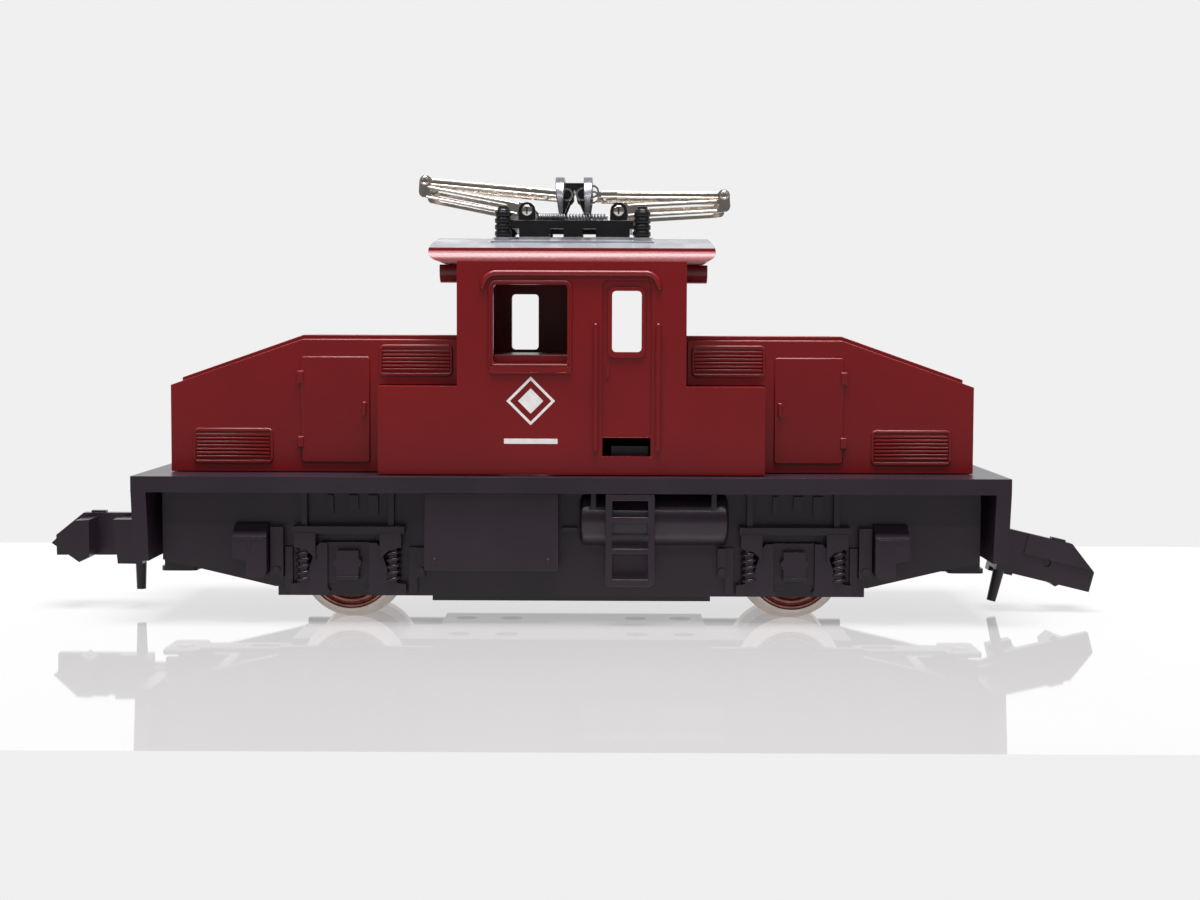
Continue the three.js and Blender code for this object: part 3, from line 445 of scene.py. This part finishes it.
def bead(points_mm, y_mm, radius_mm, sides=14):
    """A round bead along (x, z) points on the plane at y_mm: a disc drawn from point to point and
    turned with the course, its two ends rounded off."""
    bm = bmesh.new()
    points = [Vector((x, y_mm, z)) * MM for x, z in points_mm]
    steps = [b - a for a, b in zip(points, points[1:])]
    courses = [math.atan2(step.z, step.x) for step in steps]
    facing = ([courses[0]] + [(a + b) / 2 for a, b in zip(courses, courses[1:])] + [courses[-1]])
    disc = bmesh.ops.create_circle(bm, cap_ends=True, radius=radius_mm * MM, segments=sides)
    verts, tip = disc["verts"], TIP_LENGTH * radius_mm * MM
    turn = Matrix.Rotation(math.pi / 2 - facing[0], 4, "Y")
    bmesh.ops.transform(bm, matrix=Matrix.Translation(points[0] - steps[0].normalized() * tip)
                        @ turn @ Matrix.Scale(TIP_SIZE, 4), verts=verts)
    face = verts[0].link_faces[0]

    def draw(face, move, about, course_change=0.0, size=1.0):
        """Draws the end face out by a move, then turns and scales it about a point."""
        out = bmesh.ops.extrude_face_region(bm, geom=[face])["geom"]
        moved = [g for g in out if isinstance(g, bmesh.types.BMVert)]
        bmesh.ops.translate(bm, vec=move, verts=moved)
        shape = Matrix.Rotation(-course_change, 4, "Y") @ Matrix.Scale(size, 4)
        bmesh.ops.transform(bm, matrix=Matrix.Translation(about) @ shape
                            @ Matrix.Translation(-about), verts=moved)
        return next(g for g in out if isinstance(g, bmesh.types.BMFace))

    face = draw(face, steps[0].normalized() * tip, points[0], size=1 / TIP_SIZE)
    for i, step in enumerate(steps):
        face = draw(face, step, points[i + 1], facing[i + 1] - facing[i])
    last = steps[-1].normalized() * tip
    draw(face, last, points[-1] + last, size=TIP_SIZE)
    bmesh.ops.recalc_face_normals(bm, faces=bm.faces)
    return bm


def ribbon(points_mm, y_mm, depth_mm):
    """A flat plate of an (x, z) outline, standing depth_mm out from the plane at y_mm towards -Y."""
    bm = bmesh.new()
    verts = [bm.verts.new((x * MM, y_mm * MM, z * MM)) for x, z in points_mm]
    face = bm.faces.new(verts)
    out = bmesh.ops.extrude_face_region(bm, geom=[face])
    moved = [g for g in out["geom"] if isinstance(g, bmesh.types.BMVert)]
    bmesh.ops.translate(bm, vec=(0, -depth_mm * MM, 0), verts=moved)
    bmesh.ops.recalc_face_normals(bm, faces=bm.faces)
    return bm


def flat_band(points_mm, width_mm, y_mm, depth_mm):
    """A band of one width inside a closed (x, z) outline, raised from the plane at y_mm."""
    bm = bmesh.new()
    face = bm.faces.new([bm.verts.new((x * MM, y_mm * MM, z * MM)) for x, z in points_mm])
    face.normal_update()
    bmesh.ops.inset_individual(bm, faces=[face], thickness=width_mm * MM, use_even_offset=True)
    bmesh.ops.delete(bm, geom=[face], context="FACES_ONLY")
    out = bmesh.ops.extrude_face_region(bm, geom=bm.faces[:])["geom"]
    moved = [g for g in out if isinstance(g, bmesh.types.BMVert)]
    bmesh.ops.translate(bm, vec=(0, -depth_mm * MM, 0), verts=moved)
    bmesh.ops.recalc_face_normals(bm, faces=bm.faces)
    return bm


def circle_points(x, z, r, count):
    """Evenly spaced points round a circle, from its +X side."""
    angles = (2 * math.pi * i / count for i in range(count))
    return [(x + r * math.cos(a), z + r * math.sin(a)) for a in angles]


# ---------------------------------------------------------------- body, deck and running gear
for node in ("cab_shell", "hood_front", "hood_rear"):
    softened(node, SHELL_CORNER, RED, keep_at_mm=SEAM)
softened("cab_floor", THIN_CORNER, RED)
softened("cab_roof", THIN_CORNER, ROOF_RED, keep_at_mm=SEAM)
for node in ("headlight_barrel_front", "headlight_barrel_rear"):
    softened(node, BARREL_CORNER, RED, keep_at_mm=SEAM)
for node in ("headlight_lens_front", "headlight_lens_rear"):
    paint(node, LENS)
for node in ("underframe", "side_frame_near", "side_frame_far", "equipment_box_near",
             "equipment_box_far", "air_tank_near", "air_tank_far", "step_ladder_near",
             "step_ladder_far", "bottom_cover", "coupler_keeper_front", "coupler_keeper_rear"):
    softened(node, CHASSIS_CORNER, BLACK)
for node in ("chassis_block", "ballast_weight_front", "ballast_weight_rear"):
    paint(node, ZINC)
for node in ("motor_can", "axle_front", "axle_rear", "coupler_post_front", "coupler_post_rear",
             "coupler_spring_front", "coupler_spring_rear"):
    paint(node, STEEL)
for node in ("gear_front", "gear_rear", "worm_shaft", "pickup_strip_near", "pickup_strip_far"):
    paint(node, BRASS)
for end in ("front", "rear"):
    softened("coupler_" + end, CHASSIS_CORNER, BLACK, "coupler_hook_" + end)
    softened("panto_lower_arm_" + end, ARM_CORNER, NICKEL, "pantograph_lower_" + end)
    softened("panto_upper_arm_" + end, ARM_CORNER, NICKEL, "pantograph_upper_" + end)
    softened("panto_shoe_" + end, THIN_CORNER, GREY, "pantograph_head")
softened("panto_head", FINE_CORNER, JET, "pantograph_head")
softened("panto_base", FINE_CORNER, JET)


# Axle box springs: coils round the moulded cores, about five and a half turns each.
AXLE_X, AXLE_Z = 14.6, 3.6
SPRING_OFF, SPRING_Y, SPRING_FOOT = 2.93, -7.15, 2.62


def axle_springs():
    """The four coils on one side frame."""
    bm = bmesh.new()
    for x in (-AXLE_X - SPRING_OFF, -AXLE_X + SPRING_OFF, AXLE_X - SPRING_OFF,
              AXLE_X + SPRING_OFF):
        helix_tube(bm, (x, SPRING_Y, SPRING_FOOT), (0, 0, 1), radius_mm=0.42, wire_mm=0.12,
                   pitch_mm=0.43, turns=5.6, sides=10)
    return bm


both_sides("axle_box_springs", axle_springs, BLACK, 60)


# Wheels: turned tyres and ringed centres, each spun in fine steps about its axle.
def wheel(end, side):
    """One wheel's tyre and centre, from profiles of (radius, distance from the centre line)."""
    x = AXLE_X if end == "front" else -AXLE_X
    tyre = [(2.85, 5.85), (2.87, 5.87), (3.02, 5.87), (3.06, 5.83), (3.14, 4.66), (3.22, 4.55),
            (3.5, 4.42), (3.58, 4.35), (3.6, 4.24), (3.57, 4.12), (3.45, 3.72), (2.85, 3.7)]
    centre = [(0.78, 5.74), (1.2, 5.75), (1.26, 5.72), (1.36, 5.42), (1.42, 5.4), (2.14, 5.4),
              (2.2, 5.43), (2.26, 5.68), (2.29, 5.71), (2.43, 5.71), (2.46, 5.68), (2.5, 5.46),
              (2.53, 5.44), (2.58, 5.44), (2.61, 5.46), (2.64, 5.76), (2.67, 5.79), (2.78, 5.79),
              (2.8, 5.76), (2.8, 3.9), (0.78, 3.9)]
    for name, profile, material, slot in (("tyre", tyre, TYRE, "nickel"),
                                          ("centre", centre, BROWN, "wheel_centre_plastic")):
        bm = spun(profile, (x, 0, AXLE_Z), 96)
        if side == "far":
            about = Matrix.Translation((x * MM, 0, 0)) @ HALF_TURN @ Matrix.Translation(
                (-x * MM, 0, 0))
            bmesh.ops.transform(bm, matrix=about, verts=bm.verts)
        piece = finish_piece(f"wheel_{name}_{end}_{side}_turned", bm, material,
                             "wheelset_" + end, 40)
        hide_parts(f"wheel_{name}_{end}_{side}")


for end in ("front", "rear"):
    for side in ("near", "far"):
        wheel(end, side)


# ---------------------------------------------------------------- pantograph
SHED_FOOT, SHED_PITCH = 25.44, 0.43


def insulator(side, tag):
    """A ribbed insulator of four sheds, spun about its own axis."""
    x, y, _ = centre_of(f"panto_insulator_{side}_{tag}")
    profile = [(0.0, 25.36), (0.48, 25.36), (0.48, 25.42)]
    for k in range(4):
        z = SHED_FOOT + SHED_PITCH * k
        profile += [(0.5, z), (0.54, z + 0.03), (0.555, z + 0.1), (0.555, z + 0.24),
                    (0.53, z + 0.31), (0.47, z + 0.34), (0.46, z + 0.37), (0.46, z + 0.41)]
    profile += [(0.44, 27.18), (0.36, 27.22), (0.34, 27.28), (0.32, 27.4), (0.24, 27.45),
                (0.0, 27.45)]
    bm = spun(profile, (x, y, 0), 40, upright=True)
    piece = finish_piece(f"panto_insulator_{side}_{tag}_ribbed", bm, JET, BODY, 40)
    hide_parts(f"panto_insulator_{side}_{tag}")


for side in ("near", "far"):
    for tag in ("a", "b"):
        insulator(side, tag)


COIL_R, CLOSE_PITCH, CLOSE_TURNS = 0.25, 0.15, 11
COIL_END = Vector((2.3, 2.6, 26.74))


def raising_spring(side):
    """A tension spring, close-wound at one end and drawn open at the other."""
    hand = -1 if side == "near" else 1
    along = Vector((-hand, 0, 0))
    place = Vector((hand * COIL_END.x, hand * COIL_END.y, COIL_END.z))
    opened = place + along * CLOSE_PITCH * CLOSE_TURNS
    bm = bmesh.new()
    helix_tube(bm, place, along, COIL_R, wire_mm=0.07, pitch_mm=CLOSE_PITCH, turns=CLOSE_TURNS,
               sides=6, per_turn=12)
    helix_tube(bm, opened, along, COIL_R, wire_mm=0.05, pitch_mm=0.21, turns=14, sides=6,
               per_turn=12)
    piece = finish_piece(f"panto_spring_{side}_wound", bm, STEEL, BODY, 60)
    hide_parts("panto_spring_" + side)


for side in ("near", "far"):
    raising_spring(side)


SHAFT_X, SHAFT_Z, SHAFT_END = 3.05, 27.15, 4.08
KNEES = {"rear": (-9.9, 29.15), "front": (10.1, 28.25)}
PLATE_FACE, RIM_R = 3.35, 0.075


def pantograph_fixings(end):
    """Slotted heads on the base shaft's ends, each slot a jet-black bar of painted shade, and bright
    eyes on the knees, both sides.
    """
    shaft_x = SHAFT_X if end == "front" else -SHAFT_X
    heads, slots, eyes = bmesh.new(), bmesh.new(), bmesh.new()
    for hand in (-1, 1):
        head = [(0.0, -0.03), (0.3, -0.03), (0.34, 0.0), (0.34, 0.03), (0.3, 0.06), (0.0, 0.07)]
        join(heads, spun(head, (shaft_x, hand * (SHAFT_END + 0.015), SHAFT_Z), 32))
        y = hand * (SHAFT_END + 0.05)
        # each slot is a black bar on the head's face: painted shade where a recess would be
        block(slots, (shaft_x - 0.05, min(y, y + hand * 0.05), SHAFT_Z - 0.25),
              (shaft_x + 0.05, max(y, y + hand * 0.05), SHAFT_Z + 0.25))
        x, z = KNEES[end]
        eye = circle_points(0.23, 0.0, 0.08, 10)
        join(eyes, spun(eye, (x, hand * (PLATE_FACE + 0.02), z), 32))
    body = "pantograph_lower_" + end
    finish_piece(f"panto_shaft_heads_{end}", heads, NICKEL, body, 40)
    finish_piece(f"panto_shaft_slot_shades_{end}", slots, JET, body, 40)
    finish_piece(f"panto_knee_eyes_{end}", eyes, NICKEL, body, 50)


for end in ("front", "rear"):
    pantograph_fixings(end)


def rolled_edges(name, body, start, finish, half_mm, face_mm):
    """Bright rolled edges along an arm's strips: two thin rods on each side of the model."""
    bm = bmesh.new()
    run = Vector((finish[0] - start[0], finish[1] - start[1])).normalized()
    across = Vector((-run.y, run.x))
    for hand in (-1, 1):
        for edge in (-1, 1):
            ends = [Vector(p) + across * edge * half_mm for p in (start, finish)]
            join(bm, bead([tuple(p) for p in ends], hand * face_mm, RIM_R, sides=12))
    finish_piece(name, bm, NICKEL, body, 60)


# Each rim's body, first and last point in (x, z), distance off the arm's middle, and side face.
ARM_RUNS = {
    "panto_lower_rims_rear": ("pantograph_lower_rear", (-3.7, 27.3), (-9.75, 28.4), 0.33, 3.31),
    "panto_lower_rims_front": ("pantograph_lower_front", (3.7, 27.22), (9.6, 27.54), 0.33, 3.31),
    "panto_upper_rims_rear": ("pantograph_upper_rear", (-9.5, 29.11), (-1.1, 28.36), 0.17, 2.56),
    "panto_upper_rims_front": ("pantograph_upper_front", (9.7, 28.25), (1.9, 28.29), 0.17, 2.88),
}
for name, run in ARM_RUNS.items():
    rolled_edges(name, *run)


# ---------------------------------------------------------------- cab beading
def arc_points(x, z, r, start_deg, end_deg, count):
    """Points along an arc, the ends included."""
    angles = (math.radians(start_deg + (end_deg - start_deg) * i / count) for i in range(count + 1))
    return [(x + r * math.cos(a), z + r * math.sin(a)) for a in angles]


def gutter_bead():
    """The round-topped gutter over window and door, bent down at both ends."""
    course = (arc_points(-4.9, 22.01, 0.9, 180, 90, 8) + arc_points(4.78, 22.01, 0.9, 90, 0, 8))
    return bead(course, y_mm=-7.38, radius_mm=0.2)


def handrail_beads():
    """The two upright handrails beside the door."""
    bm = bmesh.new()
    for x in (1.575, 5.64):
        join(bm, bead([(x, 11.4), (x, 19.6)], y_mm=-7.42, radius_mm=0.15))
    return bm


def window_beads():
    """The rim round the cab window, and the line along its sill."""
    left, right, low, high, r = -5.34, -0.06, 16.45, 22.36, 0.4
    corners = ((left + r, low + r, 270), (left + r, high - r, 180), (right - r, high - r, 90),
               (right - r, low + r, 0))
    rim = [point for x, z, start in corners for point in arc_points(x, z, r, start, start - 90, 5)]
    middle = ((left + right) / 2, low)
    bm = bead([middle] + rim + [middle], y_mm=-7.38, radius_mm=0.09, sides=10)
    join(bm, bead([(-5.1, 16.93), (-0.3, 16.93)], y_mm=-7.4, radius_mm=0.08, sides=10))
    return bm


for name, build in (("cab_gutter_bead", gutter_bead), ("cab_handrails", handrail_beads),
                    ("cab_window_rim", window_beads)):
    both_sides(name, build, RED, 50)


# ---------------------------------------------------------------- printed marks on the cab
MARK_X, MARK_Z, MARK_R = -2.66, 14.6, 1.59
CAB_FACE, INK, LINE_WIDTH, INNER_SIZE = -7.3, 0.012, 0.17, 0.52


def cab_marks():
    """A small lozenge inside a lozenge outline, over a plain bar: generic marks in white ink."""
    bm = bmesh.new()
    join(bm, flat_band(circle_points(MARK_X, MARK_Z, MARK_R, 4), LINE_WIDTH, CAB_FACE, INK))
    join(bm, ribbon(circle_points(MARK_X, MARK_Z, MARK_R * INNER_SIZE, 4), CAB_FACE, INK))
    bar = [(-4.4, 11.8), (-0.9, 11.8), (-0.9, 12.14), (-4.4, 12.14)]
    join(bm, ribbon(bar, CAB_FACE, INK))
    return bm


both_sides("cab_printed_marks", cab_marks, PRINT)


# ---------------------------------------------------------------- stage, light and camera
def stage():
    """A pale glossy table top that ends just in front of and behind the model. Its acrylic glows
    a little with the light scattered inside it, so shadows on it stay faint."""
    near, far, half_width = -46.0, 39.0, 2000.0
    bm = bmesh.new()
    bmesh.ops.create_grid(bm, x_segments=1, y_segments=1, size=0.5)
    bmesh.ops.scale(bm, vec=(2 * half_width * MM, (far - near) * MM, 1), verts=bm.verts)
    bmesh.ops.translate(bm, vec=(0, (near + far) / 2 * MM, 0), verts=bm.verts)
    mesh = bpy.data.meshes.new("table_top")
    bm.to_mesh(mesh)
    bm.free()
    floor = bpy.data.objects.new("table_top", mesh)
    bpy.context.scene.collection.objects.link(floor)
    material, tree, surface = shader("pale_acrylic_table", Roughness=0.035, IOR=1.45)
    coords = add(tree, "TexCoord")
    cloudy(tree, surface, coords, 60, TABLE_LOW, TABLE_HIGH)
    surface.inputs["Emission Color"].default_value = linear("#fbf9fa")
    surface.inputs["Emission Strength"].default_value = TABLE_GLOW
    mesh.materials.append(material)


ROOM_FRONT, ROOM_BACK = 0.16, 0.87


def world():
    """A room that is pale behind and below the model, and dimmer overhead and on the camera's
    side."""
    scene_world = bpy.data.worlds.new("studio")
    bpy.context.scene.world = scene_world
    scene_world.use_nodes = True
    tree = scene_world.node_tree
    coords = add(tree, "TexCoord")
    parts = add(tree, "SeparateXYZ", links={"Vector": (coords, "Generated")})
    depth = add(tree, "MapRange", {"From Min": 0.0, "From Max": 0.5, "To Min": ROOM_FRONT,
                                   "To Max": ROOM_BACK}, {"Value": (parts, "Y")})
    low = add(tree, "MapRange", {"From Min": 0.0, "From Max": -0.25, "To Min": 0.0,
                                 "To Max": ROOM_BACK}, {"Value": (parts, "Z")})
    level = add(tree, "Math", {"operation": "MAXIMUM"}, {0: (depth, "Result"), 1: (low, "Result")})
    tree.links.new(level.outputs["Value"], tree.nodes["Background"].inputs["Color"])


def soft_light(name, place_mm, aim_mm, size_mm, radiance):
    """A rectangular softbox of a given radiance."""
    data = bpy.data.lights.new(name, "AREA")
    data.shape = "RECTANGLE"
    data.size, data.size_y = size_mm[0] * MM, size_mm[1] * MM
    data.energy = radiance * math.pi * data.size * data.size_y
    light = bpy.data.objects.new(name, data)
    light.location = Vector(place_mm) * MM
    light.rotation_euler = (Vector(aim_mm) - Vector(place_mm)).to_track_quat("-Z", "Y").to_euler()
    bpy.context.scene.collection.objects.link(light)


EYE_MM, LENS_MM, SENSOR_MM = (2.2, -133, 19.3), 57.87, 36
PITCH_DEG, YAW_DEG, ROLL_DEG = 3.59, 0.15, 0.2


def camera():
    """A camera at the height of the cab windows, almost square to the model's side."""
    data = bpy.data.cameras.new("camera")
    data.sensor_width = SENSOR_MM
    data.lens = LENS_MM
    data.clip_start = 0.005
    eye = bpy.data.objects.new("camera", data)
    pitch, yaw, roll = (math.radians(a) for a in (PITCH_DEG, YAW_DEG, ROLL_DEG))
    turn = (Matrix.Rotation(yaw, 4, "Z") @ Matrix.Rotation(math.pi / 2 - pitch, 4, "X")
            @ Matrix.Rotation(roll, 4, "Z"))
    eye.matrix_world = Matrix.Translation(Vector(EYE_MM) * MM) @ turn
    bpy.context.scene.collection.objects.link(eye)
    bpy.context.scene.camera = eye


stage()
world()
soft_light("overhead_softbox", place_mm=(0, -60, 420), aim_mm=(0, 0, 10), size_mm=(300, 200),
           radiance=21.0)
soft_light("front_strip", place_mm=(0, -190, 210), aim_mm=(0, 0, 12), size_mm=(420, 10),
           radiance=18.0)
camera()
bpy.context.scene.view_settings.view_transform = "Standard"
